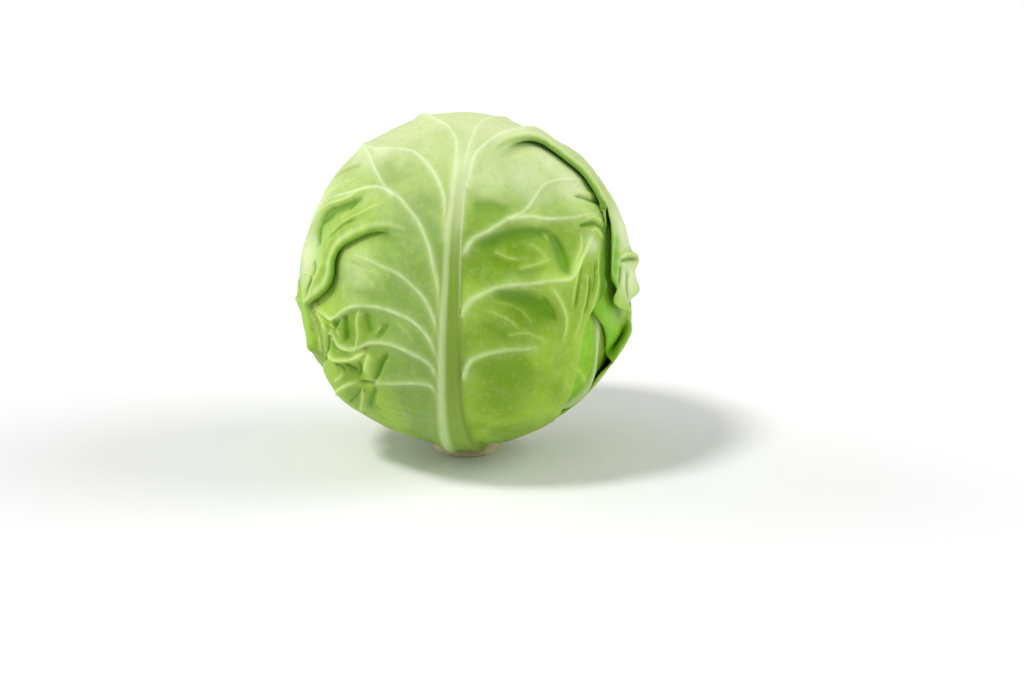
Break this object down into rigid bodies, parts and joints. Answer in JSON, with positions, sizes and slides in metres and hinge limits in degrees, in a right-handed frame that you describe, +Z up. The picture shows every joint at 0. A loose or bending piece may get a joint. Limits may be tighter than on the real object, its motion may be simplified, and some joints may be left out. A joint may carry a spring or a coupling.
{
  "type": "cabbage head",
  "caption": "Round, firm head of white cabbage: large veined green wrapper leaves folded over packed inner leaves, standing on its cut stalk.",
  "frame": {"origin": "centre of the stalk's cut face, on the surface that the head stands on", "axes": "+Z up, along the stalk and out through the crown; -Y towards the middle of the outermost leaf, the front; +X to the right of it"},
  "size_m": [0.1751, 0.1749, 0.1729],
  "materials": {
    "outer_leaf": "satin, waxy, with pale raised veins",
    "inner_leaf": "satin, paler green",
    "heart_leaf": "satin, yellowish white",
    "stalk": "matt cut face, fibrous"
  },
  "bodies": {
    "root": {"leaf_front": "outer_leaf", "leaf_back_right": "outer_leaf", "leaf_back_left": "outer_leaf", "leaf_inner_right": "inner_leaf", "leaf_inner_back": "inner_leaf", "leaf_inner_left": "inner_leaf", "inner_leaves": "heart_leaf", "stalk": "stalk"}
  },
  "joints": []
}
